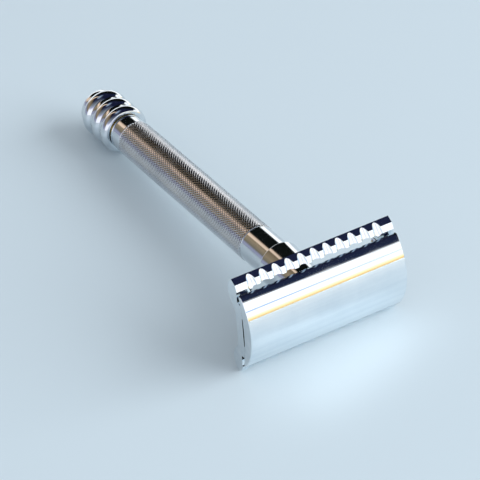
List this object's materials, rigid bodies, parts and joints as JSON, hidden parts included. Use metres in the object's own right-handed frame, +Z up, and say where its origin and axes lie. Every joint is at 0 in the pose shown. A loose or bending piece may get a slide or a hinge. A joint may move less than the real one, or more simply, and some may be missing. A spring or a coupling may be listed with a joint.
{
  "type": "safety razor",
  "caption": "Chrome-plated double-edge safety razor with a closed scalloped guard, a diamond-knurled handle and a ringed twist knob, lying at rest.",
  "frame": {"origin": "centre of the bounding box, on the surface the razor lies on", "axes": "+Z up, +X along the head, -Y the way the cap faces, +Y along the handle towards the knob. The handle's axis drops 3.7 degrees towards the knob, because the guard bar is wider than the knob."},
  "size_m": [0.043, 0.114, 0.0259],
  "materials": {
    "chrome_plate": "polished chromium plate on a zinc or brass base",
    "bright_steel": "turned and ground steel, nickel flashed",
    "brass": "turned brass, uncoated"
  },
  "bodies": {
    "handle": {"base_plate": "chrome_plate", "neck_collar": "chrome_plate", "handle_tube": "chrome_plate", "upper_bush": "brass", "lower_bush": "brass"},
    "knob": {"knob": "chrome_plate", "knob_end_cap": "chrome_plate", "knob_screw": "bright_steel", "lock_washer": "bright_steel", "drawbar": "bright_steel", "draw_nut": "brass", "nut_pin": "bright_steel", "retaining_ring": "bright_steel", "wave_washer": "bright_steel", "thrust_washer": "bright_steel"},
    "cap": {"cap": "chrome_plate", "cap_stud": "bright_steel", "guide_pin_left": "bright_steel", "guide_pin_right": "bright_steel"}
  },
  "joints": [
    {"name": "knob_turn", "type": "hinge", "parent": "handle", "child": "knob", "pos_m": [0, 0.04656, 0.0068], "axis": [0, 0.998, -0.0639], "range_deg": [0, 1800]},
    {"name": "cap_lift", "type": "slide", "parent": "handle", "child": "cap", "axis": [0, -0.998, 0.0639], "range_m": [0, 0.004]}
  ],
  "couplings": [
    {"joint": "cap_lift", "follows": "knob_turn", "m_per_rad": 0.00012732}
  ]
}
